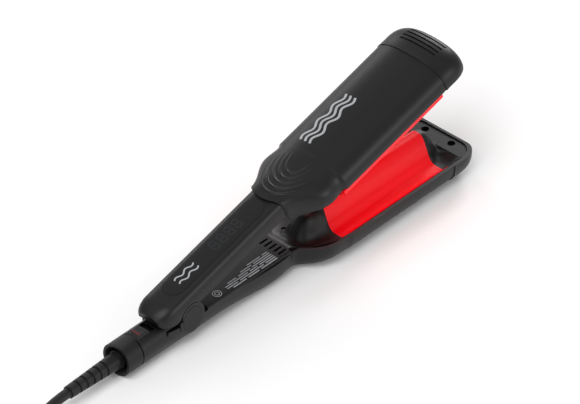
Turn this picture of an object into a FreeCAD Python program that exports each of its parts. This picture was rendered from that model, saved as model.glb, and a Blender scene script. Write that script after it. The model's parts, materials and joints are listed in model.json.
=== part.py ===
"""Deep-wave hair crimper: two hinged arms with red ceramic wave plates, a swivel cord and its plug.

Lengths are in millimetres. Both arms are drawn closed, with x measured from the hinge pin towards the
tip and z from the plane where the arms meet. The upper arm is then turned open, and everything is
moved so that the origin lies under the middle of the body, on the surface it rests on.
"""
import FreeCAD
import Part
import math
import os

# Overall sizes
tip_x = 256.0            # hinge to the front edge of the tip
collar_rear_x = -56.0    # hinge to the rear edge of the cord collar
head_half = 29.6         # half the width of the head
head_depth = 18.5        # lower head: meeting plane down to the resting surface
open_angle = 15.6        # degrees between the arms at rest
pivot_z = 1.5            # hinge pin above the meeting plane

# Casing
wall = 2.2
fit_gap = 0.3            # clearance between pieces that don't touch
run_gap = 0.05           # radial clearance of turning pieces
seat_gap = 0.1           # clearance of pieces that drop into a seat

# Handles
handle_half = 13.75
handle_depth = 16.0
deck_top = 2.0           # inner face of the lower handle
deck_thick = 2.4
upper_bottom = 8.2       # lower edge of the upper handle
upper_top = 21.5
handle_end_x = 92.0      # where the handles start to flare into the head
head_start_x = 134.0     # where the head has its full width
upper_rear_x = -23.5
deck_start_x = 14.0

# Head
seam_x = 232.0           # joint between casing and tip cap
cap_step = 0.5           # tip caps stand proud of the casing
groove_pitch = 3.4       # grip grooves on the upper tip cap
cover_edge = 3.9         # lower edge of the upper head cover
cover_rise = 17.2
cover_rear_x = 87.5
plate_start_x = 131.0
plate_end_x = 228.0
plate_half = 26.8
plate_thick = 2.0
plate_gap = 1.0          # between the plates when the crimper is closed
lip_z = -0.4
crest_top = 14.0
crest_half = 9.6
valley_z = -5.1
lip_round = 2.0
front_screw_x = 249.0
front_deck_z = -1.2
front_wave = 14.0        # the waved face runs out this far ahead of the plate
screw_sink = 2.2         # front screw heads below the deck

# Hinge
ear_radius = 11.0
ear_inner = 10.3         # inner face of the ears from the middle
knuckle_radius = 8.0
pin_radius = 2.5
pivot_cap_radius = 8.8
pivot_cap_thick = 1.6
spring_wire = 1.1
spring_radius = 4.6
spring_half = 3.6        # half the length of the spring's coil

# Tail, switch and cord swivel
tail_radius = 11.5
tail_z = -7.0
tail_wall = 2.2
tail_front_x = -12.0
collar_front_x = -42.2
tail_flat_z = 3.2
swivel_radius = 6.3
flange_x = -47.0         # swivel flange inside the collar
flange_thick = 2.0
flange_radius = 8.0
switch_rear_x = -40.0
switch_half = 4.8
switch_travel = 4.0
slider_length = 9.6
switch_front_x = switch_rear_x + slider_length + switch_travel + 3 * fit_gap

# Cord, hank and plug
cord_diameter = 6.8
relief_length = 44.0
relief_rear_radius = 4.3
hank_start_x = -175.0
hank_straight = 115.0
hank_layers = 4
hank_inner_half = 20.4   # middle of the inner column of turns
tie_width = 14.0
tie_thick = 1.8
plug_width = 35.3
plug_thick = 13.7
plug_length = 24.0
plug_neck = 20.0
plug_pin_radius = 2.0
plug_pin_length = 19.0
plug_pin_spacing = 18.6

# Display
lens_rear_x = -4.5
lens_front_x = 86.0
lens_half = 8.2
lens_depth = 1.3

# Worked out
origin_x = (tip_x + collar_rear_x) / 2
floor_z = -head_depth
V = FreeCAD.Vector

parts = {}


# ---------- drawing helpers ----------

def curve(points):
    """A smooth curve through the points."""
    line = Part.BSplineCurve()
    line.interpolate(points)
    return line.toShape()


def line(a, b):
    return Part.LineSegment(a, b).toShape()


def box(x0, x1, y0, y1, z0, z1):
    return Part.makeBox(x1 - x0, y1 - y0, z1 - z0, V(x0, y0, z0))


def rod_x(radius, x0, x1, y, z):
    return Part.makeCylinder(radius, x1 - x0, V(x0, y, z), V(1, 0, 0))


def rod_y(radius, y0, y1, x, z):
    return Part.makeCylinder(radius, y1 - y0, V(x, y0, z), V(0, 1, 0))


def rod_z(radius, z0, z1, x, y):
    return Part.makeCylinder(radius, z1 - z0, V(x, y, z0), V(0, 0, 1))


def arch(x, half, base, rise, power, count=15):
    """A closed outline across the arm: a superellipse over a flat base line. A negative rise hangs down."""
    points = []
    for i in range(count):
        t = math.pi * i / (count - 1)
        c = math.cos(t)
        y = -half * math.copysign(abs(c) ** (2 / power), c)
        points.append(V(x, y, base + rise * max(math.sin(t), 0.0) ** (2 / power)))
    return Part.Wire([curve(points), line(points[-1], points[0])])


def arch_loft(stations, inset=0.0):
    """A solid through arches, each given as (x, half, base, rise, power)."""
    wires = []
    for x, half, base, rise, power in stations:
        shorter = rise - math.copysign(inset, rise)
        wires.append(arch(x, half - inset, base, shorter, power))
    return Part.makeLoft(wires, True, False)


def wave(y, half, top, low, lip, width):
    """Height of the waved face: a round crest in the middle, a valley each side and a raised lip."""
    crest = (top - low) * math.exp(-((abs(y) / width) ** 3.2))
    edge = (lip - low) * math.exp(-((max(half - abs(y), 0.0) / lip_round) ** 1.5))
    return low + crest + edge


def wave_wire(x, half, top, low, lip, width, lift, flat_z, count=33):
    """A closed outline between the waved face and a flat line at flat_z."""
    points = []
    for i in range(count):
        y = half * math.sin(math.pi * (i / (count - 1) - 0.5))
        points.append(V(x, y, wave(y, half, top, low, lip, width) + lift))
    a = V(x, -half, flat_z)
    b = V(x, half, flat_z)
    return Part.Wire([curve(points), line(points[-1], b), line(b, a), line(a, points[0])])


def wave_loft(stations, lift, flat_z, grow=0.0):
    wires = []
    for x, half, top, low, lip, width in stations:
        wires.append(wave_wire(x, half, top, low, lip, width + grow, lift, flat_z))
    return Part.makeLoft(wires, True, False)


def plan_prism(stations, z0, z1):
    """An upright block whose width follows the given (x, half width) stations."""
    near = [V(x, -half, z0) for x, half in stations]
    far = [V(x, half, z0) for x, half in stations]
    edges = [curve(near), line(near[-1], far[-1]), curve(far), line(far[0], near[0])]
    outline = Part.Wire(Part.__sortEdges__(edges))
    return Part.Face(outline).extrude(V(0, 0, z1 - z0))


def biggest(shape):
    """The largest solid of a shape, as one solid."""
    solids = sorted(shape.Solids, key=lambda s: s.Volume)
    return solids[-1]


def stadium(x0, x1, half, z0, z1):
    """A flat slab with round ends."""
    a = V(x0 + half, -half, z0)
    b = V(x1 - half, -half, z0)
    c = V(x1 - half, half, z0)
    d = V(x0 + half, half, z0)
    front = Part.Arc(b, V(x1, 0, z0), c).toShape()
    rear = Part.Arc(d, V(x0, 0, z0), a).toShape()
    face = Part.Face(Part.Wire([line(a, b), front, line(c, d), rear]))
    return face.extrude(V(0, 0, z1 - z0))


# ---------- outlines along the arms ----------

flare = head_start_x - handle_end_x
flare_rise = [(0.0, 0.02), (0.19, 0.12), (0.33, 0.50), (0.48, 0.80), (0.71, 0.95), (1.0, 1.0)]


def flare_half(share):
    return handle_half + (head_half - handle_half) * share


def lower_handle_stations():
    tail_depth = -(tail_z - tail_radius)
    yield (-20.0, tail_radius - 0.1, lip_z, -(tail_depth + lip_z - 0.1), 2.2)
    yield (-8.0, handle_half - 0.5, lip_z, -(handle_depth + 0.4), 2.6)
    yield (4.0, handle_half, lip_z, -(handle_depth - 0.8), 2.9)
    yield (45.0, handle_half, lip_z, -handle_depth, 3.0)
    yield (handle_end_x, flare_half(0.02) - seat_gap, lip_z, -(handle_depth + 1.2 - seat_gap), 3.0)


def lower_flare_stations():
    for along, share in flare_rise:
        depth = handle_depth + 1.2 + (head_depth - handle_depth - 1.1) * share
        yield (handle_end_x + flare * along, flare_half(share), lip_z, -depth, 3.0)


def lower_head_stations():
    yield (head_start_x, head_half, lip_z, -(head_depth + 0.1), 3.0)
    yield (seam_x, head_half, lip_z, -(head_depth + 0.1), 3.0)


def tip_stations(base, rise, power):
    """The nose of a head, from the seam to the front edge, standing a little proud of the casing."""
    length = tip_x - seam_x
    for along, width, height in [(0.0, 1.0, 1.0), (0.30, 0.996, 0.985), (0.58, 0.98, 0.95),
                                 (0.82, 0.90, 0.84), (1.0, 0.62, 0.56)]:
        grown = rise + math.copysign(cap_step, rise)
        yield (seam_x + length * along, (head_half + cap_step) * width, base, grown * height, power)


def tip_cavity(base, rise, power, gap):
    """Stations of the space inside a tip cap, less a clearance."""
    for x, half, low, high, bend in tip_stations(base, rise, power):
        inset = wall + cap_step + gap
        yield (x - wall * 0.9 - gap, half - inset, low, high - math.copysign(inset, high), bend)


def block_stations_rear():
    """The waved face behind the plate: the crest runs out in a nose with a moat round it."""
    x = plate_start_x
    yield (x, plate_half, crest_top, valley_z, lip_z, crest_half)
    yield (x - 9.5, plate_half - 1.0, crest_top * 0.62, valley_z, lip_z, crest_half - 0.4)
    yield (x - 17.0, plate_half - 3.6, crest_top * 0.38, valley_z, lip_z, crest_half - 1.6)
    yield (x - 23.0, plate_half - 6.6, valley_z * 0.4, valley_z * 0.9, lip_z, crest_half - 3.0)
    yield (x - 28.0, plate_half - 10.0, valley_z * 0.6, valley_z * 0.7, lip_z, crest_half - 3.6)
    yield (x - 34.0, handle_half - wall - 0.4, deck_top * 0.4, deck_top * 0.3, deck_top * 0.5, crest_half - 4.0)
    yield (x - 39.0, handle_half - wall - 0.6, deck_top, deck_top, deck_top, crest_half - 4.0)


def block_stations_front():
    """The waved face ahead of the plate: the crest ends in a dome above a flat deck."""
    x = plate_end_x
    deck = front_deck_z
    yield (x, plate_half, crest_top, valley_z, lip_z, crest_half)
    yield (x + 4.0, plate_half, crest_top * 0.90, valley_z, lip_z, crest_half)
    yield (x + 8.0, plate_half, crest_top * 0.58, valley_z * 0.85, lip_z, crest_half - 1.4)
    yield (x + 11.0, plate_half, crest_top * 0.12, valley_z * 0.55, lip_z, crest_half - 3.0)
    yield (x + front_wave, plate_half, deck, deck * 1.05, lip_z, crest_half - 3.4)


# ---------- lower arm ----------

def lower_outer():
    outer = arch_loft(list(lower_handle_stations()))
    outer = outer.fuse(arch_loft(list(lower_flare_stations())))
    outer = outer.fuse(arch_loft(list(lower_head_stations())))
    return outer


def lower_inner(inset):
    handle = [s for s in lower_handle_stations() if s[0] > 0]
    handle[0] = (tail_front_x + 1.0,) + handle[0][1:]
    inner = arch_loft(handle, inset)
    inner = inner.fuse(arch_loft(list(lower_flare_stations()), inset))
    head = list(lower_head_stations())
    head[1] = (seam_x + 1.0,) + head[1][1:]
    return inner.fuse(arch_loft(head, inset))


def make_lower_housing():
    shell = lower_outer()
    tail = rod_x(tail_radius, collar_front_x, tail_front_x, 0, tail_z)
    shell = shell.fuse(tail)
    for y0 in (ear_inner, -handle_half):
        ear = rod_y(ear_radius, y0, y0 + handle_half - ear_inner, 0, pivot_z)
        shell = shell.fuse(ear)
    shell = shell.cut(lower_inner(wall))
    shell = shell.cut(rod_x(tail_radius - tail_wall, collar_front_x + tail_wall, tail_front_x + 2.0, 0, tail_z))
    shell = shell.cut(rod_x(3.0, collar_front_x - 1, collar_front_x + 5, 0, tail_z))
    shell = shell.cut(box(collar_front_x - 1, tail_front_x + 3, -20, 20, tail_flat_z, 30))
    gap = knuckle_radius + 1.2
    shell = shell.cut(rod_y(gap, -ear_inner, ear_inner, 0, pivot_z))
    shell = shell.cut(box(-gap, gap + 3.0, -ear_inner, ear_inner, pivot_z, 30))
    shell = shell.cut(box(tail_front_x - 3.0, gap, -ear_inner, ear_inner, lip_z, 30))
    shell = shell.cut(rod_y(pin_radius + 0.02, -30, 30, 0, pivot_z))
    for side in (1, -1):
        y0 = handle_half - pivot_cap_thick if side > 0 else -handle_half - 1
        shell = shell.cut(rod_y(pivot_cap_radius + seat_gap, y0, y0 + pivot_cap_thick + 1, 0, pivot_z))
    slot = box(switch_rear_x, switch_front_x, -switch_half - 0.2, switch_half + 0.2, tail_z, 30)
    shell = shell.cut(slot)
    shell = shell.cut(box(-100, 400, -60, 60, floor_z - 20, floor_z))
    return biggest(shell)


def make_lower_deck():
    """Inner cover of the lower handle, with its vents and the waved nose behind the plate."""
    deck = arch_loft([(deck_start_x, handle_half, lip_z, deck_thick, 7.0),
                      (50.0, handle_half, lip_z, deck_thick, 7.0),
                      (handle_end_x, handle_half, lip_z, deck_thick, 7.0)])
    inset = wall + fit_gap
    room = plan_prism([(x, half - inset) for x, half, base, rise, power in lower_flare_stations()], -30.0, 30.0)
    nose = wave_loft(list(block_stations_rear()), 0.0, valley_z - 2.5)
    deck = deck.fuse(nose.common(room))
    vent_x = plate_start_x - 43.5
    for i in range(6):
        y = (i - 2.5) * 4.0
        deck = deck.cut(box(vent_x - 3.6, vent_x + 3.6, y - 0.8, y + 0.8, -10, 10))
    hole_x = plate_start_x - 18.7
    deck = deck.cut(rod_z(1.6, -20, 20, hole_x, 11.5))
    return biggest(deck)


def plate_band(lift, down):
    """A plate of even thickness that follows the waved face, hanging below it or standing above it."""
    upper = wave_loft([(x, plate_half, crest_top, valley_z, lip_z, crest_half)
                       for x in (plate_start_x, plate_end_x)], lift, -40.0,
                      0.0 if down else plate_thick * 0.75)
    shift = -plate_thick if down else plate_thick
    other = wave_loft([(x, plate_half, crest_top, valley_z, lip_z, crest_half)
                       for x in (plate_start_x, plate_end_x)], lift + shift, -40.0,
                      -plate_thick * 0.75 if down else plate_thick * 1.5)
    return upper.cut(other) if down else other.cut(upper)


def make_lower_plate():
    return biggest(plate_band(0.0, True))


def front_outline(base, rise, power, gap):
    """Plan of the space ahead of a plate, as (x, half width)."""
    cavity = tip_cavity(base, rise, power, gap)
    return [(plate_end_x, plate_half)] + [(x, half) for x, half, low, high, bend in cavity]


def make_lower_front_block():
    block = wave_loft(list(block_stations_front()), 0.0, valley_z - 3.0)
    block = block.fuse(box(plate_end_x + front_wave - 0.5, tip_x, -plate_half, plate_half,
                           front_deck_z - 4.5, front_deck_z))
    rise = -(head_depth + 0.1)
    block = block.common(plan_prism(front_outline(lip_z, rise, 3.0, fit_gap), -30.0, 30.0))
    block = block.cut(make_tip_cap(lip_z, rise, 3.0))
    head_z = front_deck_z - screw_sink
    for y in (-11.4, 11.4):
        block = block.cut(rod_z(2.7, head_z - 1.2, 20, front_screw_x, y))
        block = block.cut(rod_z(1.4, -20, 20, front_screw_x, y))
    return biggest(block)


def make_tip_cap(base, rise, power):
    cap = arch_loft(list(tip_stations(base, rise, power)))
    cap = cap.cut(arch_loft(list(tip_cavity(base, rise, power, 0.0))))
    if rise < 0:
        return biggest(cap.cut(box(-100, 400, -60, 60, floor_z - 20, floor_z)))
    below = arch_loft(list(tip_stations(base, rise, power)), 0.8)
    for i in range(4):
        x = seam_x + 8.5 + i * groove_pitch
        cap = cap.cut(box(x, x + 1.4, -15.0, 15.0, base + rise / 2, 60).cut(below))
    return biggest(cap)


def make_tip_cap(base, rise, power):
    cap = arch_loft(list(tip_stations(base, rise, power)))
    if rise < 0:
        cap = cap.cut(box(-100, 400, -60, 60, floor_z - 20, floor_z))
    else:
        below = arch_loft(list(tip_stations(base, rise, power)), 0.8)
        for i in range(4):
            x = seam_x + 8.5 + i * groove_pitch
            cap = cap.cut(box(x, x + 1.4, -15.0, 15.0, base + rise / 2, 60).cut(below))
    return biggest(cap.cut(arch_loft(list(tip_cavity(base, rise, power, 0.0)))))


def make_plate_frame(lower):
    """Heat-proof carrier: two rails under the valleys joined by cross bars."""
    z0 = valley_z - plate_thick - 3.4
    z1 = valley_z - plate_thick - fit_gap
    if not lower:
        z0 = valley_z + plate_gap + plate_thick + 2.6
        z1 = z0 + 3.0
    rails = None
    half_in = crest_half + (3.8 if lower else 7.8)
    half_out = plate_half - (6.4 if lower else 4.8)
    for y in (half_in, -half_out):
        rail = box(plate_start_x + 2, plate_end_x - 2, y, y + half_out - half_in, z0, z1)
        rails = rail if rails is None else rails.fuse(rail)
    if lower:
        for x in (plate_start_x + 8, plate_end_x - 14):
            rails = rails.fuse(box(x, x + 6, -half_out, half_out, z0, z1 - 0.6))
    return rails


def make_heater(lower):
    """Flat ceramic heating strip under the crest, or over each valley of the upper plate."""
    if lower:
        return box(plate_start_x + 8, plate_end_x - 8, -3.2, 3.2, crest_top - plate_thick - 3.9,
                   crest_top - plate_thick - 1.3)
    z = crest_top + plate_gap + plate_thick
    return box(plate_start_x + 8, plate_end_x - 8, -6.0, 6.0, z + fit_gap, z + fit_gap + 0.9)


def make_heater_clamp():
    """Bent aluminium bracket that presses the lower strip into the crest."""
    top = crest_top - plate_thick - 3.9 - fit_gap
    foot = valley_z - plate_thick - 0.6 - 0.3
    x0, x1 = plate_start_x + 16, plate_end_x - 16
    clamp = box(x0, x1, -4.4, 4.4, foot, top)
    clamp = clamp.cut(box(x0 - 1, x1 + 1, -3.2, 3.2, foot - 1, top - 1.2))
    return clamp


# ---------- upper arm ----------

def upper_end_stations():
    """The rounded rear end of the upper handle."""
    rise = upper_top - upper_bottom
    x = upper_rear_x
    yield (x, handle_half - 5.0, upper_bottom + 4.6, rise - 7.4, 2.6)
    yield (x + 3.5, handle_half - 1.7, upper_bottom + 2.0, rise - 3.2, 3.0)
    yield (x + 7.5, handle_half - 0.4, upper_bottom + 0.5, rise - 0.8, 3.4)
    yield (x + 12.0, handle_half, upper_bottom, rise, 3.6)


def upper_handle_stations():
    rise = upper_top - upper_bottom
    yield (upper_rear_x + 12.0, handle_half, upper_bottom, rise, 3.6)
    yield (handle_end_x, handle_half, upper_bottom, rise, 3.6)


def upper_root_stations():
    """The handle runs on under the head cover."""
    rise = upper_top - upper_bottom
    yield (handle_end_x, handle_half, upper_bottom, rise, 3.6)
    yield (handle_end_x + 16.0, handle_half - 0.8, upper_bottom + 0.2, rise - 2.9, 3.2)
    yield (plate_start_x - 10.0, handle_half - 1.8, upper_bottom + 0.6, rise - 5.0, 3.0)


def cover_stations():
    yield (cover_rear_x - 6, handle_half + 1.5, cover_edge, upper_top + 1.5 - cover_edge, 4.6)
    yield (handle_end_x + 2.0, handle_half + 1.8, cover_edge, upper_top + 1.5 - cover_edge, 4.6)
    for (along, share), power in zip(flare_rise[2:], (3.2, 2.7, 2.4, 2.3)):
        top = upper_top + 1.5 + (cover_edge + cover_rise - upper_top - 1.5) * share
        half = flare_half(share) + (1.0 - share) * 1.2
        yield (handle_end_x + flare * along, half, cover_edge, top - cover_edge, power)


def cover_head_stations():
    yield (head_start_x, head_half, cover_edge, cover_rise, 2.3)
    yield (seam_x, head_half, cover_edge, cover_rise, 2.3)


def make_upper_handle():
    shell = arch_loft(list(upper_end_stations()))
    shell = shell.fuse(arch_loft(list(upper_handle_stations())))
    shell = shell.fuse(arch_loft(list(upper_root_stations())))
    hollow = arch_loft(list(upper_handle_stations()), wall).fuse(arch_loft(list(upper_root_stations()), wall))
    shell = shell.cut(hollow)
    web = box(-5.0, 5.0, -ear_inner + 0.7, ear_inner - 0.7, pivot_z, upper_top - 2.0)
    knuckle = rod_y(knuckle_radius, -ear_inner + 0.7, ear_inner - 0.7, 0, pivot_z)
    shell = shell.fuse(web).fuse(knuckle)
    coil_gap = spring_half + 0.6
    shell = shell.cut(rod_y(knuckle_radius + 1, -coil_gap, coil_gap, 0, pivot_z))
    shell = shell.cut(rod_y(pin_radius + run_gap, -30, 30, 0, pivot_z))
    for side in (1, -1):
        y0 = ear_inner - 0.3 if side > 0 else -30.0
        shell = shell.cut(rod_y(ear_radius + 0.5, y0, y0 + 29.7 - ear_inner + 0.6, 0, pivot_z))
    seat = stadium(lens_rear_x - seat_gap, lens_front_x + seat_gap, lens_half + seat_gap,
                   upper_top - lens_depth, upper_top + 5)
    shell = shell.cut(seat)
    shell = shell.cut(box(30.0, 75.0, -5.6, 5.6, upper_top - 6, upper_top + 5))
    return biggest(shell)


def make_upper_cover():
    """Head cover with a round rear edge that overlaps the handle."""
    outer = arch_loft(list(cover_stations())).fuse(arch_loft(list(cover_head_stations())))
    hollow = []
    for x, half, base, rise, power in cover_stations():
        thin = 1.2 if x < handle_end_x + 12 else wall
        hollow.append((x, half - thin, base, rise - thin, power))
    inner = arch_loft(hollow).fuse(arch_loft(list(cover_head_stations()), wall))
    cover = outer.cut(inner)
    centre = V(head_start_x, 0, -50)
    reaches = [V(head_start_x - cover_rear_x, 0, 0), V(0, head_half + 0.9, 0)]
    reaches.sort(key=lambda reach: -reach.Length)
    plan = Part.Ellipse(centre + reaches[0], centre + reaches[1], centre).toShape()
    keep = Part.Face(Part.Wire([plan])).extrude(V(0, 0, 150))
    keep = keep.fuse(box(head_start_x, 300, -60, 60, -50, 100))
    return biggest(cover.common(keep))


def head_cavity(inset):
    """The space inside the head cover, less a clearance."""
    stations = [(x, half - wall, base, rise - wall, power) for x, half, base, rise, power in cover_stations()]
    head = list(cover_head_stations())
    head = [(x, half - wall, base, rise - wall, power) for x, half, base, rise, power in head]
    return arch_loft(stations, inset).fuse(arch_loft(head, inset))


def make_upper_rim():
    """Inner frame of the upper head behind the plate, with a hollow for the lower nose."""
    half = plate_half - 0.4
    solid = head_cavity(fit_gap)
    solid = solid.common(box(handle_end_x + 12, plate_start_x, -half, half, -20, crest_top + 3.2))
    below = wave_loft(list(block_stations_rear()), plate_gap, -60.0, plate_thick * 0.5)
    solid = solid.cut(below)
    root = arch_loft([(x, h + fit_gap, b - fit_gap, r + 2 * fit_gap, p)
                      for x, h, b, r, p in upper_root_stations()])
    return biggest(solid.cut(root))


def make_upper_plate():
    """The upper plate nests over the lower one; its lips run out under the edge of the head cover."""
    plate = plate_band(plate_gap, False)
    for y in (plate_half - 1.0, -head_half + fit_gap):
        plate = plate.fuse(box(plate_start_x, plate_end_x, y, y + head_half - fit_gap - plate_half + 1.0,
                               lip_z + plate_gap, cover_edge - seat_gap))
    return biggest(plate)


def make_upper_front_block():
    half = plate_half - 0.4
    solid = head_cavity(fit_gap).common(box(plate_end_x, seam_x - 0.2, -half, half, cover_edge, crest_top + 3.2))
    nose = arch_loft(list(tip_cavity(cover_edge, cover_rise, 2.3, fit_gap)))
    solid = solid.fuse(nose.common(box(seam_x - 2, 300, -half, half, cover_edge, crest_top + 3.2)))
    outline = front_outline(cover_edge, cover_rise, 2.3, fit_gap)
    solid = solid.fuse(plan_prism(outline, cover_edge - 3.2, cover_edge + 0.5))
    below = wave_loft(list(block_stations_front()), plate_gap, -60.0, plate_thick * 0.5)
    return biggest(solid.cut(below))


def make_upper_inner_cover():
    cover = box(deck_start_x, handle_end_x + 8.0, -handle_half + wall + 1.6, handle_half - wall - 1.6,
                upper_bottom + 0.3, upper_bottom + 2.0)
    for x in (deck_start_x + 8, handle_end_x):
        cover = cover.cut(rod_z(1.3, 0, 30, x, 0))
    return cover


def make_screws(places, z_head, z_end, head_radius, shank_radius):
    """Countersunk screws, each (x, y), heads at z_head and points at z_end."""
    screws = []
    for x, y in places:
        down = z_end < z_head
        head_end = z_head + (-1.2 if down else 1.2)
        head = rod_z(head_radius, min(z_head, head_end), max(z_head, head_end), x, y)
        shank = rod_z(shank_radius, min(head_end, z_end), max(head_end, z_end), x, y)
        slot = box(x - head_radius, x + head_radius, y - 0.3, y + 0.3, z_head - 0.5, z_head + 0.5)
        screws.append(head.fuse(shank).cut(slot))
    return Part.makeCompound(screws)


# ---------- hinge ----------

def make_pivot_pin():
    half = handle_half - pivot_cap_thick - 0.1
    return rod_y(pin_radius, -half, half, 0, pivot_z)


def make_pivot_cap(side):
    y0 = handle_half - pivot_cap_thick if side > 0 else -handle_half - 0.2
    cap = rod_y(pivot_cap_radius, y0, y0 + pivot_cap_thick + 0.2, 0, pivot_z)
    rim = [e for e in cap.Edges if abs(abs(e.BoundBox.YMin) - handle_half - 0.2) < 0.01]
    return cap.makeFillet(0.4, [e for e in rim if e.BoundBox.YLength < 0.01])


def make_hinge_spring():
    """Torsion spring round the pin, with one leg in each arm."""
    turns = 5
    length = 2 * spring_half - spring_wire
    helix = Part.makeHelix(length / turns, length, spring_radius)
    section = Part.Wire(Part.Circle(V(spring_radius, 0, 0), V(0, 1, 0), spring_wire / 2).toShape())
    coil = Part.Wire(helix.Edges).makePipeShell([section], True, True)
    coil.rotate(V(0, 0, 0), V(1, 0, 0), -90)
    coil.translate(V(0, -length / 2, pivot_z))
    lower_leg = Part.makeCylinder(spring_wire / 2, 13, V(spring_radius, -length / 2, pivot_z), V(0.72, 0, -0.69))
    upper_leg = Part.makeCylinder(spring_wire / 2, 9, V(spring_radius, length / 2, pivot_z), V(0.85, 0, 0.52))
    return biggest(coil.fuse(lower_leg).fuse(upper_leg))


# ---------- tail ----------

def make_collar():
    collar = rod_x(tail_radius, collar_rear_x, collar_front_x - 0.9, 0, tail_z)
    collar = collar.fuse(rod_x(tail_radius - 1.2, collar_front_x - 1.0, collar_front_x, 0, tail_z))
    collar = collar.cut(rod_x(swivel_radius + run_gap, collar_rear_x - 1, collar_front_x + 1, 0, tail_z))
    collar = collar.cut(rod_x(flange_radius + fit_gap, flange_x - fit_gap, collar_front_x + 1, 0, tail_z))
    mouth = Part.makeCone(swivel_radius + 3.4, swivel_radius + run_gap, 6.0,
                          V(collar_rear_x - 0.01, 0, tail_z), V(1, 0, 0))
    return biggest(collar.cut(mouth))


def make_swivel_socket():
    """Ring that holds the swivel's flange in the collar."""
    x0 = flange_x + flange_thick + fit_gap
    socket = rod_x(flange_radius + fit_gap - 0.05, x0, collar_front_x, 0, tail_z)
    return socket.cut(rod_x(3.2, x0 - 1, collar_front_x + 1, 0, tail_z))


def make_swivel():
    """Turning barrel with a flange that holds it in the collar."""
    barrel = rod_x(swivel_radius, collar_rear_x + 0.4, flange_x + flange_thick, 0, tail_z)
    barrel = barrel.fuse(rod_x(flange_radius, flange_x, flange_x + flange_thick, 0, tail_z))
    return barrel.cut(rod_x(2.2, flange_x - 4, flange_x + 9, 0, tail_z))


def relief_end_x():
    return collar_rear_x + 0.4 - relief_length


def make_strain_relief():
    rear = relief_end_x()
    length = collar_rear_x + 0.4 - rear
    relief = Part.makeCone(relief_rear_radius, swivel_radius - 0.5, length, V(rear, 0, tail_z), V(1, 0, 0))
    for i in range(5):
        x = rear + 6.0 + i * 6.0
        groove = rod_x(9.0, x, x + 1.8, 0, tail_z)
        radius = relief_rear_radius + (swivel_radius - 0.5 - relief_rear_radius) * (x - rear) / length
        groove = groove.cut(rod_x(radius - 0.7, x - 1, x + 3, 0, tail_z))
        relief = relief.cut(groove)
    return relief


def make_switch_body():
    return box(switch_rear_x + fit_gap, switch_front_x + 0.5, -switch_half - 1.0, switch_half + 1.0,
               tail_z + 2.0, tail_z + 7.0)


def make_switch_slider():
    x0 = switch_rear_x + fit_gap
    z0 = tail_z + 7.0 + fit_gap
    base = box(x0, x0 + slider_length, -switch_half, switch_half, z0, tail_flat_z - 0.2)
    top = box(x0 + 0.8, x0 + slider_length - 0.8, -switch_half + 0.9, switch_half - 0.9,
              tail_flat_z - 0.3, tail_flat_z + 0.9)
    slider = base.fuse(top)
    for i in range(4):
        x = x0 + 1.7 + i * 1.7
        slider = slider.fuse(box(x, x + 0.8, -switch_half + 0.9, switch_half - 0.9,
                                 tail_flat_z + 0.8, tail_flat_z + 1.6))
    return slider


# ---------- display and electronics ----------

def make_lens():
    lens = stadium(lens_rear_x, lens_front_x, lens_half, upper_top - lens_depth, upper_top + 3)
    skin = [(x, half + 0.1, base, rise + 0.12, power) for x, half, base, rise, power in upper_handle_stations()]
    return biggest(lens.common(arch_loft(skin)))


def make_display_module():
    return box(32.0, 73.0, -5.2, 5.2, upper_top - 4.8, upper_top - lens_depth - 0.1)


def make_control_board():
    board = box(deck_start_x + 2, handle_end_x - 4, -9.4, 9.4, upper_top - 6.8, upper_top - 5.2)
    board = board.fuse(box(22.0, 30.0, -4.0, 4.0, upper_top - 9.0, upper_top - 6.7))
    return board.fuse(box(78.0, 84.0, -6.0, -1.0, upper_top - 8.8, upper_top - 6.7))


def make_wires(x0, x1, z, spacing):
    wires = [rod_x(0.9, x0, x1, y, z) for y in (-spacing, spacing)]
    return Part.makeCompound(wires)


# ---------- cord ----------

cord_floor = cord_diameter / 2 + floor_z
outer_half = hank_inner_half + cord_diameter
hank_half = outer_half + cord_diameter / 2
hank_front = hank_start_x - hank_half
hank_rear = hank_front - hank_straight
hank_top = floor_z + hank_layers * cord_diameter
top_turn_z = hank_top - cord_diameter / 2
plug_z = hank_top + plug_thick / 2 + 0.05
plug_start_x = hank_front - 95.0


def lead_route():
    """From the strain relief down to the floor and into the outer turn of the hank."""
    return [V(relief_end_x(), 0, tail_z),
            V(relief_end_x() - 21.4, 0, tail_z),
            V(hank_front + 55.0, -9.0, cord_floor + 1.1),
            V(hank_front + 21.0, -outer_half, cord_floor),
            V(hank_front, -outer_half, cord_floor)]


def tail_route():
    """From the last turn of the hank over the tie to the plug that lies on it."""
    return [V(hank_front, -hank_inner_half, top_turn_z),
            V(hank_front - 24.0, -hank_inner_half, top_turn_z),
            V(plug_start_x + 26.0, 0, plug_z),
            V(plug_start_x, 0, plug_z)]


def tube(points, radius):
    """A round cord along straight runs joined by arcs as large as the runs allow."""
    edges = []
    start = points[0]
    last = len(points) - 3
    for i, (before, at, after) in enumerate(zip(points, points[1:], points[2:])):
        back = (before - at).normalize()
        ahead = (after - at).normalize()
        turn = math.pi - back.getAngle(ahead)
        if turn < 1e-4:
            continue
        room_back = before.distanceToPoint(at) * (0.94 if i == 0 else 0.47)
        room_ahead = at.distanceToPoint(after) * (0.94 if i == last else 0.47)
        reach = min(room_back, room_ahead)
        bend = reach / math.tan(turn / 2)
        print("bend radius", round(bend, 1))
        a = at + back * reach
        b = at + ahead * reach
        inward = (back + ahead).normalize()
        middle = at + inward * (math.hypot(reach, bend) - bend)
        edges.append(line(start, a))
        edges.append(Part.Arc(a, middle, b).toShape())
        start = b
    edges.append(line(start, points[-1]))
    path = Part.Wire(edges)
    first = (points[1] - points[0]).normalize()
    section = Part.Wire(Part.Circle(points[0], first, radius).toShape())
    solid = path.makePipeShell([section], True, False)
    print("tube volume", round(solid.Volume), "section x length", round(math.pi * radius ** 2 * path.Length),
          "length", round(path.Length, 1))
    return solid


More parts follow.
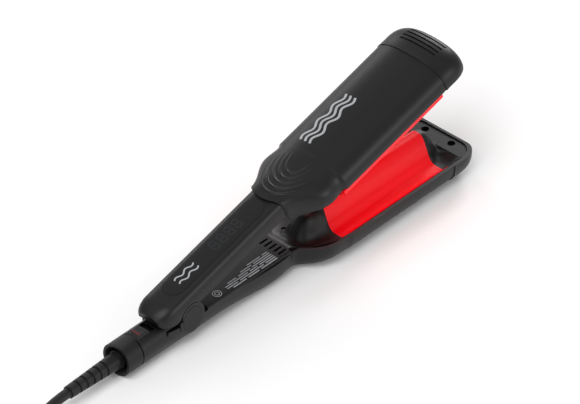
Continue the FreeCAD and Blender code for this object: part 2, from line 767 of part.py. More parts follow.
def racetrack(half, z0, z1):
    """A flat slab with round ends, on the hank's middle line."""
    return stadium(hank_rear - half, hank_front + half, half, z0, z1)


def make_hank():
    """The tied turns as one ring: the outer column is one layer lower than the inner one."""
    r = cord_diameter / 2
    hank = racetrack(hank_half, floor_z, hank_top - cord_diameter)
    hank = hank.fuse(racetrack(hank_inner_half + r, floor_z, hank_top))
    hank = hank.cut(racetrack(hank_inner_half - r, floor_z - 1, hank_top + 1))
    hank = hank.cut(box(hank_front, hank_front + 60, -hank_half - 1, -outer_half + r + 5.0,
                        floor_z - 1, floor_z + cord_diameter + 0.6))
    hank = hank.cut(box(hank_front - 60, hank_front, -hank_inner_half - r - 0.4, 0,
                        hank_top - cord_diameter - 0.8, hank_top + 1))
    return biggest(hank)


def make_hank_tie():
    x = (hank_front + hank_rear) / 2
    tie = box(x - tie_width / 2, x + tie_width / 2, -hank_half - 0.2 - tie_thick, hank_half + 0.2 + tie_thick,
              floor_z, hank_top + 0.2 + tie_thick)
    return tie.cut(box(x - 30, x + 30, -hank_half - 0.2, hank_half + 0.2, floor_z + 0.01 - 1, hank_top + 0.2))


def pill_wire(x, half, thick, z):
    """A flat round-sided outline across the plug."""
    r = thick / 2
    a = V(x, -half + r, z - r)
    b = V(x, half - r, z - r)
    c = V(x, half - r, z + r)
    d = V(x, -half + r, z + r)
    near = Part.Arc(b, V(x, half, z), c).toShape()
    far = Part.Arc(d, V(x, -half, z), a).toShape()
    return Part.Wire([line(a, b), near, line(c, d), far])


def make_plug():
    """Flat two-pin plug with its neck; also gives the x of its front face."""
    neck = Part.makeCone(cord_diameter / 2 + 0.6, 5.2, plug_neck, V(plug_start_x, 0, plug_z), V(-1, 0, 0))
    base = plug_start_x - plug_neck + 3.0
    face = base - plug_length
    sections = [(base, 7.4, plug_thick - 2.5), (base - 5.0, 12.0, plug_thick - 0.6),
                (base - 11.0, plug_width / 2 - 0.6, plug_thick), (face, plug_width / 2, plug_thick)]
    wires = [pill_wire(x, half, thick, plug_z) for x, half, thick in sections]
    plug = Part.makeLoft(wires, True, True).fuse(neck)
    for y in (-plug_pin_spacing / 2, plug_pin_spacing / 2):
        plug = plug.cut(rod_x(plug_pin_radius, face - 1, face + 8, y, plug_z))
    return biggest(plug), face


def make_plug_pins(face):
    pins = []
    for y in (-plug_pin_spacing / 2, plug_pin_spacing / 2):
        pin = rod_x(plug_pin_radius, face - plug_pin_length, face + 8, y, plug_z)
        pins.append(pin.makeFillet(1.2, [e for e in pin.Edges if abs(e.BoundBox.XMax - face + plug_pin_length) < 0.01]))
    return Part.makeCompound(pins)


# ---------- all pieces ----------

lower = {
    "lower_housing": make_lower_housing(),
    "lower_inner_cover": make_lower_deck(),
    "lower_plate": make_lower_plate(),
    "lower_front_block": make_lower_front_block(),
    "lower_tip_cap": make_tip_cap(lip_z, -(head_depth + 0.1), 3.0),
    "lower_plate_frame": make_plate_frame(True),
    "lower_heater": make_heater(True),
    "lower_heater_clamp": make_heater_clamp(),
    "lower_thermal_fuse": rod_x(2.2, plate_start_x + 4, plate_start_x + 15, 0, valley_z - 8.2),
    "lower_wires": make_wires(tail_front_x - 8.0, plate_start_x - 2.0, valley_z - 5.6, 3.0),
    "front_screws": make_screws([(front_screw_x, y) for y in (-11.4, 11.4)], front_deck_z - screw_sink, -7.6, 2.5, 1.3),
    "rear_screw": make_screws([(plate_start_x - 18.7, 11.5)], -5.8, -10.0, 1.5, 0.9),
    "pivot_pin": make_pivot_pin(),
    "pivot_cap_near": make_pivot_cap(-1),
    "pivot_cap_far": make_pivot_cap(1),
    "hinge_spring": make_hinge_spring(),
    "cord_collar": make_collar(),
    "swivel_socket": make_swivel_socket(),
    "switch_body": make_switch_body(),
    "switch_slider": make_switch_slider(),
    "cord_swivel": make_swivel(),
    "strain_relief": make_strain_relief(),
    "cord_lead": tube(lead_route(), cord_diameter / 2),
    "cord_hank": make_hank(),
    "cord_end": tube(tail_route(), cord_diameter / 2),
    "hank_tie": make_hank_tie(),
}
plug_body, plug_face = make_plug()
lower["plug_body"] = plug_body
lower["plug_pins"] = make_plug_pins(plug_face)

upper = {
    "upper_handle": make_upper_handle(),
    "upper_head_cover": make_upper_cover(),
    "upper_tip_cap": make_tip_cap(cover_edge, cover_rise, 2.3),
    "upper_inner_cover": make_upper_inner_cover(),
    "upper_rim": make_upper_rim(),
    "upper_front_block": make_upper_front_block(),
    "upper_plate": make_upper_plate(),
    "upper_plate_frame": make_plate_frame(False),
    "upper_heater": make_heater(False),
    "upper_sensor": box(plate_start_x - 9, plate_start_x - 3, -2, 2, crest_top + 3.5, crest_top + 4.2),
    "upper_wires": make_wires(deck_start_x + 4.0, plate_start_x - 14.0, upper_bottom + 3.0, 3.0),
    "upper_screws": make_screws([(x, 0) for x in (deck_start_x + 8, handle_end_x)],
                                upper_bottom + 0.3 - 1.3, upper_bottom + 3.0, 2.2, 1.2),
    "display_lens": make_lens(),
    "display_module": make_display_module(),
    "control_board": make_control_board(),
}

os.makedirs("parts", exist_ok=True)
for name, shape in upper.items():
    shape.rotate(V(0, 0, pivot_z), V(0, -1, 0), open_angle)
for group in (lower, upper):
    for name, shape in group.items():
        shape.translate(V(-origin_x, 0, head_depth))
        shape.exportStep("parts/" + name + ".step")
        parts[name] = shape
for name in sorted(parts):
    shape = parts[name]
    b = shape.optimalBoundingBox()
    print(f"{name:20s} ok={shape.isValid()} solids={len(shape.Solids)} vol={shape.Volume:9.1f} "
          f"x {b.XMin:7.1f} {b.XMax:7.1f} y {b.YMin:6.1f} {b.YMax:6.1f} z {b.ZMin:6.1f} {b.ZMax:6.1f}")
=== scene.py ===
"""Looks of a deep-wave hair crimper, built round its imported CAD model."""
import json
import math

import bmesh
import bpy
from mathutils import Matrix, Vector
from mathutils.bvhtree import BVHTree


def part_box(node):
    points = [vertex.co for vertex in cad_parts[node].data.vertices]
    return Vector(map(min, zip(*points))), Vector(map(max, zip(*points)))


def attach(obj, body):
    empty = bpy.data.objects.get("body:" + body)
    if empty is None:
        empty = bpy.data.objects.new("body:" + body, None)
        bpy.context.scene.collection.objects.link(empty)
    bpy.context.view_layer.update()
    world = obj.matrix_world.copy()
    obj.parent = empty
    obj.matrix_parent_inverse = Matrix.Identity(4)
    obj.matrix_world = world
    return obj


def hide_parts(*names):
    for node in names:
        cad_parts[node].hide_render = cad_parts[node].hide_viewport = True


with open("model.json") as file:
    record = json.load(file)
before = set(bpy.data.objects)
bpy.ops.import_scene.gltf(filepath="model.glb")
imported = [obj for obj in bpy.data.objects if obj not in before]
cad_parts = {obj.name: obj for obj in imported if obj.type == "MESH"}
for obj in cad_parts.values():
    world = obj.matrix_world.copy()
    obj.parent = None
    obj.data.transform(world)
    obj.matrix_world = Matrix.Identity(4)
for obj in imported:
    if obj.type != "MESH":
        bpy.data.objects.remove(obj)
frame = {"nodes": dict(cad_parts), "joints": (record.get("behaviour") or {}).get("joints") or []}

bl_info = {
    "name": "Hair crimper looks",
    "version": (1, 0, 0),
    "blender": (4, 5, 0),
    "location": "3D View > Sidebar > Crimper",
    "description": "Builds the finishes, cord and small parts of a deep-wave hair crimper",
    "category": "Object",
}

# The frame gives the places: the hinge, and the CAD parts whose boxes are read from their meshes.
NODES = frame["nodes"]
HINGE = next(j for j in frame["joints"] if j["name"] == "arm_hinge")
PIVOT = Vector(HINGE["pos_m"])
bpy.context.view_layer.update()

# Each arm is drawn in millimetres as if the crimper were closed: x runs from the hinge pin to the tip,
# z from the plane where the arms meet. The upper arm is then turned open about the pin.
MEETING_Z = 18.5
LOWER = Matrix.Translation((PIVOT.x, 0.0, MEETING_Z / 1000.0)) @ Matrix.Scale(0.001, 4)


def upper_placement():
    """Placement of the upper arm's pieces, turned open about the hinge pin."""
    angle = bpy.context.scene.crimper_body.open_angle
    turn = Matrix.Rotation(-angle, 4, "Y")
    return Matrix.Translation(PIVOT) @ turn @ Matrix.Translation(-PIVOT) @ LOWER


# ---------- settings ----------

class CrimperStage(bpy.types.PropertyGroup):
    azimuth: bpy.props.FloatProperty(
        name="Azimuth", description="Side from which the camera looks", default=math.radians(-47.5), subtype="ANGLE")
    elevation: bpy.props.FloatProperty(
        name="Elevation", description="Height of the camera above the horizon", default=math.radians(37.9),
        subtype="ANGLE")
    distance: bpy.props.FloatProperty(
        name="Distance", description="From the camera to the middle of the picture", default=5.0, unit="LENGTH")
    lens: bpy.props.FloatProperty(name="Lens", description="Focal length of the camera", default=490.6, unit="CAMERA")
    target: bpy.props.FloatVectorProperty(
        name="Target", description="Point in the middle of the picture", default=(-0.0253, -0.0287, 0.0779),
        subtype="TRANSLATION")
    floor_colour: bpy.props.StringProperty(name="Floor", description="Hex colour of the floor", default="#fbfbfb")


class CrimperBody(bpy.types.PropertyGroup):
    open_angle: bpy.props.FloatProperty(
        name="Opening", description="Angle between the arms at rest", default=math.radians(15.6), subtype="ANGLE")
    casing_colour: bpy.props.StringProperty(
        name="Casing", description="Hex colour of the soft-touch casing", default="#0f0f10")
    nylon_colour: bpy.props.StringProperty(
        name="Inner parts", description="Hex colour of the heat-resistant inner parts", default="#0b0b0c")
    ceramic_colour: bpy.props.StringProperty(
        name="Plates", description="Hex colour of the plate coating", default="#ff0016")


class CrimperCord(bpy.types.PropertyGroup):
    diameter: bpy.props.FloatProperty(
        name="Diameter", description="Thickness of the cord, in millimetres", default=6.8)
    straight: bpy.props.FloatProperty(
        name="Straight run", description="Straight length of the tied hank, in millimetres", default=115.0)
    inner_half: bpy.props.FloatProperty(
        name="Inner turn", description="Half the width of the hank's inner turns, in millimetres", default=20.4)
    front: bpy.props.FloatProperty(
        name="Hank front", description="Where the hank's straight runs begin, from the pin, in millimetres",
        default=-205.6)
    colour: bpy.props.StringProperty(name="Sheath", description="Hex colour of the cord", default="#101011")


# ---------- small tools ----------

def linear(hex_colour):
    """sRGB hex text as the linear colour that the shaders take."""
    values = [int(hex_colour[i:i + 2], 16) / 255.0 for i in (1, 3, 5)]
    return [v / 12.92 if v <= 0.04045 else ((v + 0.055) / 1.055) ** 2.4 for v in values] + [1.0]


def add_node(tree, kind, settings=None, links=None):
    """Adds a node, sets its properties (lower-case names) and inputs, and links its inputs."""
    node = tree.nodes.new(kind)
    for key, value in (settings or {}).items():
        if isinstance(key, str) and key[0].islower():
            setattr(node, key, value)
        else:
            node.inputs[key].default_value = value
    for key, socket in (links or {}).items():
        tree.links.new(socket, node.inputs[key])
    return node


def per_mm(size):
    """Pattern scale that gives features of this size in millimetres."""
    return 1000.0 / size


def new_material(name):
    material = bpy.data.materials.new(name)
    material.use_nodes = True
    material.node_tree.nodes.clear()
    return material, material.node_tree


def finish_material(tree, shader):
    add_node(tree, "ShaderNodeOutputMaterial", links={"Surface": shader.outputs[0]})


def cached(builder):
    """Keeps one copy of each material."""
    store = {}

    def wrapped():
        if "made" not in store:
            store["made"] = builder()
        return store["made"]
    return wrapped


def dress(obj, material):
    obj.data.materials.clear()
    obj.data.materials.append(material)


def put(name, bm, placement, body, material, smooth=40.0):
    """Turns a bmesh drawn in arm millimetres into a placed, finished object that rides on a body."""
    bmesh.ops.transform(bm, matrix=placement, verts=bm.verts)
    mesh = bpy.data.meshes.new(name)
    bm.to_mesh(mesh)
    bm.free()
    obj = bpy.data.objects.new(name, mesh)
    bpy.context.scene.collection.objects.link(obj)
    if smooth:
        mesh.shade_smooth()
        mesh.set_sharp_from_angle(angle=math.radians(smooth))
    dress(obj, material)
    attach(obj, body)
    return obj


# ---------- materials ----------

def moulded(name, colour, roughness, grain, depth, ior=1.5, coat=0.0, mottle=1.0):
    """A moulded plastic: an even colour with a faint mottle, and the fine grain that its mould was eroded with."""
    material, tree = new_material(name)
    place = add_node(tree, "ShaderNodeTexCoord")
    fine = add_node(tree, "ShaderNodeTexNoise", {"Scale": per_mm(grain), "Detail": 3.0},
                    {"Vector": place.outputs["Object"]})
    broad = add_node(tree, "ShaderNodeTexNoise", {"Scale": per_mm(26.0), "Detail": 2.0},
                     {"Vector": place.outputs["Object"]})
    base = linear(colour)
    tint = add_node(tree, "ShaderNodeValToRGB", links={"Fac": broad.outputs["Fac"]})
    tint.color_ramp.elements[0].color = [(1.0 - 0.14 * mottle) * c for c in base[:3]] + [1.0]
    tint.color_ramp.elements[1].color = [(1.0 + 0.12 * mottle) * c for c in base[:3]] + [1.0]
    gloss = add_node(tree, "ShaderNodeMapRange", {"To Min": roughness - 0.05, "To Max": roughness + 0.06},
                     {"Value": fine.outputs["Fac"]})
    bump = add_node(tree, "ShaderNodeBump", {"Strength": depth, "Distance": 0.0001},
                    {"Height": fine.outputs["Fac"]})
    shader = add_node(tree, "ShaderNodeBsdfPrincipled", {"IOR": ior, "Coat Weight": coat, "Coat Roughness": 0.12,
                       "Specular IOR Level": 0.35},
                      {"Base Color": tint.outputs["Color"], "Roughness": gloss.outputs["Result"],
                       "Normal": bump.outputs["Normal"]})
    finish_material(tree, shader)
    return material


def metal(name, colour, roughness, across, along):
    """A bare or plated metal with the faint streaks that drawing or turning leaves."""
    material, tree = new_material(name)
    place = add_node(tree, "ShaderNodeTexCoord")
    stretch = add_node(tree, "ShaderNodeMapping", {"Scale": (1.0 / along, 1.0 / across, 1.0 / across)},
                       {"Vector": place.outputs["Object"]})
    streak = add_node(tree, "ShaderNodeTexNoise", {"Scale": 1000.0, "Detail": 2.0},
                      {"Vector": stretch.outputs["Vector"]})
    gloss = add_node(tree, "ShaderNodeMapRange", {"To Min": roughness - 0.07, "To Max": roughness + 0.1},
                     {"Value": streak.outputs["Fac"]})
    bump = add_node(tree, "ShaderNodeBump", {"Strength": 0.25, "Distance": 0.00005},
                    {"Height": streak.outputs["Fac"]})
    shader = add_node(tree, "ShaderNodeBsdfPrincipled", {"Base Color": linear(colour), "Metallic": 1.0},
                      {"Roughness": gloss.outputs["Result"], "Normal": bump.outputs["Normal"]})
    finish_material(tree, shader)
    return material


@cached
def soft_touch_abs():
    # ABS with a soft-touch lacquer: deep black, satin, with a very fine leathery grain
    return moulded("soft_touch_lacquered_abs", bpy.context.scene.crimper_body.casing_colour, 0.42, 0.45, 0.22)


@cached
def glass_filled_nylon():
    # heat-resistant glass-filled nylon: blacker and drier than the casing, with a coarser spark-eroded grain
    return moulded("glass_filled_nylon", bpy.context.scene.crimper_body.nylon_colour, 0.5, 0.6, 0.3)


@cached
def switch_abs():
    # plain moulded ABS in charcoal: a shade lighter than the casing
    return moulded("charcoal_abs", "#3b3b3d", 0.4, 0.5, 0.2)


@cached
def switch_mark_red():
    # pad-printed red lacquer on the slider's thumb face
    return moulded("red_pad_print", "#a81822", 0.45, 0.5, 0.1)


@cached
def pps_resin():
    # polyphenylene sulphide round the heaters: dark brown-grey and dull
    return moulded("pps_resin", "#2b2926", 0.62, 0.7, 0.25)


@cached
def steatite():
    # fired steatite heater blocks: chalky off-white with a dry surface
    return moulded("fired_steatite", "#d8d2c4", 0.75, 0.4, 0.5)


@cached
def pvc_sheath():
    # extruded PVC cable sheath: dull black with a slight waxy sheen
    return moulded("extruded_pvc", bpy.context.scene.crimper_cord.colour, 0.5, 0.8, 0.15)


@cached
def silicone_insulation():
    # silicone wire insulation: soft red-brown
    return moulded("silicone_rubber", "#8f1f1a", 0.55, 0.8, 0.1)


@cached
def solder_mask():
    # glass-epoxy board under green solder mask: glossy over a faint weave
    return moulded("fr4_solder_mask", "#0f4a2a", 0.3, 0.7, 0.1, coat=0.3)


@cached
def silver_print():
    # silver pad-printing ink: grey with a slight metallic lift
    return moulded("silver_pad_print", "#a9abae", 0.42, 0.3, 0.1)


@cached
def ghost_segments():
    # unlit display segments seen through smoked acrylic: barely lighter than the panel
    return moulded("unlit_segments", "#26282c", 0.3, 0.4, 0.05)


@cached
def panel_acrylic():
    # smoked acrylic panel: polished, so it mirrors the lights sharply
    return moulded("smoked_acrylic", "#08080a", 0.09, 2.0, 0.02, ior=1.49, coat=0.6)


@cached
def zinc_plated_steel():
    return metal("zinc_plated_steel", "#9a9da1", 0.34, 0.25, 2.0)


@cached
def black_oxide_steel():
    # black-oxide screws: dark metal with a soft glint
    return metal("black_oxide_steel", "#3a3b3d", 0.38, 0.3, 1.0)


@cached
def nickel_plated_brass():
    return metal("nickel_plated_brass", "#c9c2ae", 0.22, 0.2, 3.0)


@cached
def aluminium_sheet():
    return metal("rolled_aluminium", "#b9bbbf", 0.4, 0.3, 8.0)


@cached
def red_ceramic():
    """Ceramic coating sprayed on the pressed aluminium plates and fired: saturated red, glossy, with a faint
    orange peel and tiny dark specks. A little emission paints a faint glow into the red: painted light that brightens
    the plates beyond what the lamps give."""
    material, tree = new_material("red_ceramic_coating")
    base = linear(bpy.context.scene.crimper_body.ceramic_colour)
    place = add_node(tree, "ShaderNodeTexCoord")
    peel = add_node(tree, "ShaderNodeTexNoise", {"Scale": per_mm(1.6), "Detail": 2.0},
                    {"Vector": place.outputs["Object"]})
    specks = add_node(tree, "ShaderNodeTexVoronoi", {"Scale": per_mm(1.1)}, {"Vector": place.outputs["Object"]})
    tint = add_node(tree, "ShaderNodeValToRGB", links={"Fac": specks.outputs["Distance"]})
    tint.color_ramp.elements[0].position = 0.04
    tint.color_ramp.elements[0].color = [0.75 * c for c in base[:3]] + [1.0]
    tint.color_ramp.elements[1].position = 0.12
    tint.color_ramp.elements[1].color = base
    bump = add_node(tree, "ShaderNodeBump", {"Strength": 0.12, "Distance": 0.0001}, {"Height": peel.outputs["Fac"]})
    # the emission below is painted light, a faint red glow that brightens the plates
    shader = add_node(tree, "ShaderNodeBsdfPrincipled",
                      {"Roughness": 0.3, "IOR": 1.52, "Coat Weight": 0.2, "Coat Roughness": 0.15,
                       "Specular IOR Level": 0.2, "Emission Color": base, "Emission Strength": 0.02},
                      {"Base Color": tint.outputs["Color"], "Normal": bump.outputs["Normal"]})
    finish_material(tree, shader)
    return material


@cached
def hook_and_loop():
    """Woven hook-and-loop strap: black nylon with a 0.8 mm weave and a fuzzy sheen."""
    material, tree = new_material("hook_and_loop_nylon")
    place = add_node(tree, "ShaderNodeTexCoord")
    weave = add_node(tree, "ShaderNodeTexWave", {"Scale": per_mm(0.8) / 6.28, "Distortion": 1.5},
                     {"Vector": place.outputs["Object"]})
    tint = add_node(tree, "ShaderNodeValToRGB", links={"Fac": weave.outputs["Fac"]})
    tint.color_ramp.elements[0].color = linear("#101012")
    tint.color_ramp.elements[1].color = linear("#2a2a2e")
    bump = add_node(tree, "ShaderNodeBump", {"Strength": 0.5, "Distance": 0.0003}, {"Height": weave.outputs["Fac"]})
    shader = add_node(tree, "ShaderNodeBsdfPrincipled", {"Roughness": 0.85, "Sheen Weight": 0.3},
                      {"Base Color": tint.outputs["Color"], "Normal": bump.outputs["Normal"]})
    finish_material(tree, shader)
    return material


@cached
def paper_floor():
    # seamless studio paper: nearly white and dead matt
    return moulded("studio_paper", bpy.context.scene.crimper_stage.floor_colour, 0.9, 3.0, 0.02, mottle=0.0)


# ---------- stage ----------

# Name, place and width in metres, and watts. Each one faces the middle of the crimper.
SOFTBOXES = (
    ("key_softbox", (-0.9, -0.2, 1.7), 1.2, 19.0),
    ("rear_softbox", (0.6, 1.7, 0.8), 0.5, 4.0),
    ("front_softbox", (-1.9, -0.5, 0.9), 0.6, 5.0),
    ("tip_softbox", (1.6, 0.7, 0.8), 0.7, 14.0),
    ("side_fill", (0.5, -1.8, 0.7), 0.5, 8.0),
)
LIT_POINT = Vector((0.0, 0.0, 0.05))
SURROUND = 0.42


class CRIMPER_OT_stage(bpy.types.Operator):
    """Adds the pale floor, the soft lights and the camera"""
    bl_idname = "crimper.stage"
    bl_label = "Stage"

    def execute(self, context):
        stage = context.scene.crimper_stage
        bm = bmesh.new()
        bmesh.ops.create_grid(bm, x_segments=1, y_segments=1, size=6.0)
        mesh = bpy.data.meshes.new("floor")
        bm.to_mesh(mesh)
        bm.free()
        floor = bpy.data.objects.new("floor", mesh)
        context.scene.collection.objects.link(floor)
        dress(floor, paper_floor())
        a, e = stage.azimuth, stage.elevation
        back = Vector((math.sin(a) * math.cos(e), -math.cos(a) * math.cos(e), math.sin(e)))
        right = Vector((math.cos(a), math.sin(a), 0.0))
        up = back.cross(right)
        turn = Matrix((right, up, back)).transposed().to_4x4()
        camera = bpy.data.objects.new("camera", bpy.data.cameras.new("camera"))
        camera.matrix_world = Matrix.Translation(Vector(stage.target) + stage.distance * back) @ turn
        camera.data.lens = stage.lens
        camera.data.sensor_width = 36.0
        camera.data.clip_end = 30.0
        context.scene.collection.objects.link(camera)
        context.scene.camera = camera
        for name, where, size, watts in SOFTBOXES:
            lamp = bpy.data.lights.new(name, "AREA")
            lamp.energy = watts
            lamp.size = size
            holder = bpy.data.objects.new(name, lamp)
            aim = Vector(where) - LIT_POINT
            holder.matrix_world = Matrix.Translation(where) @ aim.to_track_quat("Z", "Y").to_matrix().to_4x4()
            context.scene.collection.objects.link(holder)
        # The surround is a dim, even white, as a lit backdrop is outside the softboxes.
        world = bpy.data.worlds.new("studio")
        world.use_nodes = True
        world.node_tree.nodes["Background"].inputs["Color"].default_value = (1.0, 1.0, 1.0, 1.0)
        world.node_tree.nodes["Background"].inputs["Strength"].default_value = SURROUND
        context.scene.world = world
        context.scene.view_settings.view_transform = "Standard"
        return {"FINISHED"}


# ---------- cord ----------

def lower_point(x, y, z):
    return LOWER @ Vector((x, y, z))


class CRIMPER_OT_cord(bpy.types.Operator):
    """Lays the cord from its strain relief into the tied hank and on to the plug"""
    bl_idname = "crimper.cord"
    bl_label = "Cord"

    def execute(self, context):
        cord = context.scene.crimper_cord
        d, half, front = cord.diameter, cord.inner_half, cord.front
        ground = -MEETING_Z + d / 2.0
        relief_low, relief_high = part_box("strain_relief")
        exit_x = (relief_low.x - PIVOT.x) * 1000.0
        axis_z = (relief_low.z + relief_high.z) * 500.0 - MEETING_Z
        plug_x = (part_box("plug_body")[1].x - PIVOT.x) * 1000.0
        plug_z = (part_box("plug_pins")[0].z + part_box("plug_pins")[1].z) * 500.0 - MEETING_Z
        route = [(exit_x, 0.0, axis_z), (exit_x - 21.4, 0.0, axis_z), (front + 55.0, -9.0, ground + 1.1),
                 (front + 21.0, -half - d, ground)]
        # Each turn keeps its own place in the stack and moves to the next one where the turn after it has made room.
        places = [(half + d, 0), (half, 0), (half, 1), (half + d, 1), (half + d, 2), (half, 2), (half, 3)]
        turns = len(places) - 1
        length = cord.straight
        steps = 14  # points in a turn: three on each straight run and four round each end
        for turn in range(turns):
            start = (turns - 1 - turn) / turns
            for step in range(steps):
                share = (step + 0.5) / steps
                move = min(max((share - start) * turns, 0.0), 1.0)
                here, there = places[turn], places[turn + 1]
                width = here[0] + (there[0] - here[0]) * move
                z = ground + d * (here[1] + (there[1] - here[1]) * move)
                if step < 3:
                    x, y = front - length * (0.12, 0.5, 0.88)[step], -width
                elif step < 7:
                    angle = math.radians(-90.0 - 45.0 * (step - 2.5))
                    reach = width / math.cos(math.radians(22.5))
                    x, y = front - length + reach * math.cos(angle), reach * math.sin(angle)
                elif step < 10:
                    x, y = front - length * (0.88, 0.5, 0.12)[step - 7], width
                else:
                    angle = math.radians(90.0 - 45.0 * (step - 9.5))
                    reach = width / math.cos(math.radians(22.5))
                    x, y = front + reach * math.cos(angle), reach * math.sin(angle)
                route.append((x, y, z))
        top = ground + 3.0 * d
        route += [(front - 24.0, -half, top), (plug_x + 26.0, 0.0, plug_z), (plug_x - 4.0, 0.0, plug_z)]
        curve = bpy.data.curves.new("cord", "CURVE")
        curve.dimensions = "3D"
        curve.bevel_depth = d / 2000.0
        curve.bevel_resolution = 5
        curve.resolution_u = 6
        curve.render_resolution_u = 6
        spline = curve.splines.new("NURBS")
        spline.points.add(len(route) - 1)
        for point, where in zip(spline.points, route):
            point.co = (*lower_point(*where), 1.0)
        spline.order_u = 3
        spline.use_endpoint_u = True
        flex = bpy.data.objects.new("cord", curve)
        context.scene.collection.objects.link(flex)
        dress(flex, pvc_sheath())
        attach(flex, "root")
        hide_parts("cord_lead", "cord_hank", "cord_end")
        return {"FINISHED"}


# ---------- finishes of the CAD parts ----------

class CRIMPER_OT_finishes(bpy.types.Operator):
    """Gives every CAD part the finish of its real material"""
    bl_idname = "crimper.finishes"
    bl_label = "Finishes"

    def execute(self, context):
        by_finish = {
            soft_touch_abs: ["lower_housing", "lower_tip_cap", "upper_handle", "upper_head_cover", "upper_tip_cap"],
            glass_filled_nylon: ["lower_inner_cover", "lower_front_block", "upper_inner_cover", "upper_rim",
                                 "upper_front_block", "switch_body", "cord_collar", "swivel_socket",
                                 "pivot_cap_near", "pivot_cap_far"],
            red_ceramic: ["lower_plate", "upper_plate"],
            pps_resin: ["lower_plate_frame", "upper_plate_frame"],
            steatite: ["lower_heater", "upper_heater"],
            aluminium_sheet: ["lower_heater_clamp"],
            zinc_plated_steel: ["lower_thermal_fuse", "upper_sensor", "pivot_pin", "hinge_spring"],
            black_oxide_steel: ["front_screws", "rear_screw", "upper_screws"],
            silicone_insulation: ["lower_wires", "upper_wires"],
            pvc_sheath: ["cord_swivel", "strain_relief", "plug_body"],
            hook_and_loop: ["hank_tie"],
            nickel_plated_brass: ["plug_pins"],
            switch_abs: ["switch_slider"],
            panel_acrylic: ["display_lens", "display_module"],
            solder_mask: ["control_board"],
        }
        for finish, names in by_finish.items():
            for name in names:
                dress(NODES[name], finish())
        return {"FINISHED"}


# ---------- raised and printed detail that follows the casings ----------

def top_face(node, placement):
    """Search tree of a CAD part, turned back into arm millimetres."""
    bm = bmesh.new()
    bm.from_mesh(NODES[node].data)
    bmesh.ops.transform(bm, matrix=placement.inverted(), verts=bm.verts)
    tree = BVHTree.FromBMesh(bm)
    bm.free()
    return tree


def ribbon(bm, tree, path, half, crown, fade=False, across=4):
    """A narrow band along a path of (x, y) points on a casing: crowned in the middle, its edges sunk in the face."""
    count = len(path) - 1
    made = bmesh.ops.create_grid(bm, x_segments=count, y_segments=across, size=0.5)
    for vert in made["verts"]:
        i = round((vert.co.x + 0.5) * count)
        side = vert.co.y * 2.0
        before, after = path[max(i - 1, 0)], path[min(i + 1, count)]
        run = Vector((after[0] - before[0], after[1] - before[1])).normalized()
        x = path[i][0] - run.y * half * side
        y = path[i][1] + run.x * half * side
        height = crown * (math.sin(math.pi * i / count) ** 0.5 if fade else 1.0)
        lift = height * (1.0 - side ** 4) - (0.12 if fade else 0.0) * side ** 4
        hit, normal, face, far = tree.ray_cast(Vector((x, y, 90.0)), Vector((0.0, 0.0, -1.0)))
        if hit is None:
            raise RuntimeError("a band leaves the face that it follows")
        vert.co = hit + normal * lift


class CRIMPER_OT_ridges(bpy.types.Operator):
    """Adds the nested round ridges behind the head cover"""
    bl_idname = "crimper.ridges"
    bl_label = "Cover ridges"

    def execute(self, context):
        placement = upper_placement()
        tree = top_face("upper_head_cover", placement)
        bm = bmesh.new()
        for k in range(5):
            long, wide = 38.0 - 5.0 * k, 21.0 - 3.2 * k
            path = []
            for i in range(49):
                angle = math.radians(-78.0 + 156.0 * i / 48)
                path.append((132.0 - long * math.cos(angle), wide * math.sin(angle)))
            path.reverse()
            ribbon(bm, tree, path, 1.2, 0.3, fade=True)
        put("cover_ridges", bm, placement, "upper_arm", soft_touch_abs())
        return {"FINISHED"}


# Rows of the rating label: each row's y, and where its bars start and end along x.
LABEL_ROWS = (
    (-12.0, ((40.0, 52.0), (54.0, 64.0), (66.0, 81.0))),
    (-10.2, ((36.0, 46.0), (48.0, 70.0), (72.0, 81.0))),
    (-8.4, ((36.0, 57.0), (59.0, 66.0), (68.0, 81.0))),
    (-6.6, ((40.0, 48.0), (50.0, 61.0), (63.0, 81.0))),
    (-4.8, ((54.0, 64.0), (66.0, 81.0))),
    (-3.0, ((62.0, 74.0), (76.0, 81.0))),
)


class CRIMPER_OT_prints(bpy.types.Operator):
    """Adds the wavy mark on the head cover and the plain bars of the rating label"""
    bl_idname = "crimper.prints"
    bl_label = "Printed marks"

    def execute(self, context):
        placement = upper_placement()
        tree = top_face("upper_head_cover", placement)
        bm = bmesh.new()
        for row in range(3):
            path = []
            for i in range(61):
                x = 140.0 + 45.0 * i / 60
                path.append((x, 4.6 + 4.0 * row + 1.5 * math.sin((x - 140.0) / 45.0 * 6.0 * math.pi)))
            ribbon(bm, tree, path, 0.85, 0.05)
        put("wave_mark", bm, placement, "upper_arm", silver_print())
        tree = top_face("lower_inner_cover", LOWER)
        bm = bmesh.new()
        for y, bars in LABEL_ROWS:
            for start, end in bars:
                path = [(start + (end - start) * i / 8, y) for i in range(9)]
                ribbon(bm, tree, path, 0.42, 0.04)
        for x, y, radius in ((28.0, -8.6, 3.0), (28.0, -8.6, 1.5)):
            turn = [(x + radius * math.cos(math.tau * i / 32), y + radius * math.sin(math.tau * i / 32))
                    for i in range(33)]
            ribbon(bm, tree, turn, 0.3, 0.04)
        put("rating_bars", bm, LOWER, "root", silver_print())
        return {"FINISHED"}


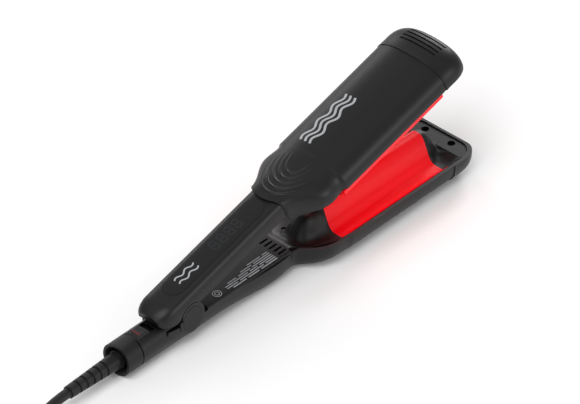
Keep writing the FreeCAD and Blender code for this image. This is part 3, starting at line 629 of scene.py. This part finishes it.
class CRIMPER_OT_display(bpy.types.Operator):
    """Adds the unlit digits and the key marks of the display panel"""
    bl_idname = "crimper.display"
    bl_label = "Display"

    def execute(self, context):
        placement = upper_placement()
        tree = top_face("display_lens", placement)
        bm = bmesh.new()
        wide, tall = 4.2, 7.6
        for digit in range(4):
            x = 40.0 + 7.2 * digit
            ends = [((x, -tall / 2), (x, -0.5)), ((x, 0.5), (x, tall / 2)),
                    ((x + wide, -tall / 2), (x + wide, -0.5)), ((x + wide, 0.5), (x + wide, tall / 2)),
                    ((x + 0.6, -tall / 2), (x + wide - 0.6, -tall / 2)), ((x + 0.6, 0.0), (x + wide - 0.6, 0.0)),
                    ((x + 0.6, tall / 2), (x + wide - 0.6, tall / 2))]
            for start, end in ends:
                path = [(start[0] + (end[0] - start[0]) * i / 3, start[1] + (end[1] - start[1]) * i / 3)
                        for i in range(4)]
                ribbon(bm, tree, path, 0.42, 0.03, across=2)
        put("display_digits", bm, placement, "upper_arm", ghost_segments())
        bm = bmesh.new()
        for row in range(2):
            path = []
            for i in range(41):
                x = 6.0 + 18.0 * i / 40
                path.append((x, -2.2 + 4.4 * row + 1.0 * math.sin((x - 6.0) / 18.0 * 4.0 * math.pi)))
            ribbon(bm, tree, path, 0.55, 0.04)
        put("panel_mark", bm, placement, "upper_arm", silver_print())
        return {"FINISHED"}


class CRIMPER_OT_switch_mark(bpy.types.Operator):
    """Adds the red band on the slide switch"""
    bl_idname = "crimper.switch_mark"
    bl_label = "Switch band"

    def execute(self, context):
        low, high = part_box("switch_slider")
        size = (high - low) * 1000.0
        bm = bmesh.new()
        bmesh.ops.create_cube(bm, size=1.0)
        bmesh.ops.scale(bm, vec=(1.1, size.y - 2.6, 0.5), verts=bm.verts)
        bmesh.ops.bevel(bm, geom=list(bm.edges), offset=0.12, affect="EDGES", segments=2, profile=0.5, material=-1)
        middle = LOWER.inverted() @ ((low + high) / 2.0)
        top = (LOWER.inverted() @ high).z
        bmesh.ops.translate(bm, vec=(middle.x - 2.6, 0.0, top - 0.28), verts=bm.verts)
        put("switch_band", bm, LOWER, "power_switch", switch_mark_red())
        return {"FINISHED"}


# ---------- panel, registration and order of work ----------

STEPS = (CRIMPER_OT_stage, CRIMPER_OT_cord, CRIMPER_OT_finishes, CRIMPER_OT_ridges, CRIMPER_OT_prints,
         CRIMPER_OT_display, CRIMPER_OT_switch_mark)
GROUPS = (("crimper_stage", CrimperStage), ("crimper_body", CrimperBody), ("crimper_cord", CrimperCord))


class CRIMPER_PT_panel(bpy.types.Panel):
    """Settings and steps of the crimper"""
    bl_idname = "CRIMPER_PT_panel"
    bl_label = "Hair crimper"
    bl_space_type = "VIEW_3D"
    bl_region_type = "UI"
    bl_category = "Crimper"

    def draw(self, context):
        for name, group in GROUPS:
            box = self.layout.box()
            for prop in group.__annotations__:
                box.prop(getattr(context.scene, name), prop)
        for step in STEPS:
            self.layout.operator(step.bl_idname)


def register():
    for name, group in GROUPS:
        bpy.utils.register_class(group)
        setattr(bpy.types.Scene, name, bpy.props.PointerProperty(type=group))
    for step in STEPS:
        bpy.utils.register_class(step)
    bpy.utils.register_class(CRIMPER_PT_panel)


def unregister():
    bpy.utils.unregister_class(CRIMPER_PT_panel)
    for step in reversed(STEPS):
        bpy.utils.unregister_class(step)
    for name, group in reversed(GROUPS):
        delattr(bpy.types.Scene, name)
        bpy.utils.unregister_class(group)


def main():
    register()
    for step in STEPS:
        area, _, name = step.bl_idname.partition(".")
        getattr(getattr(bpy.ops, area), name)()


if __name__ == "__main__":
    main()
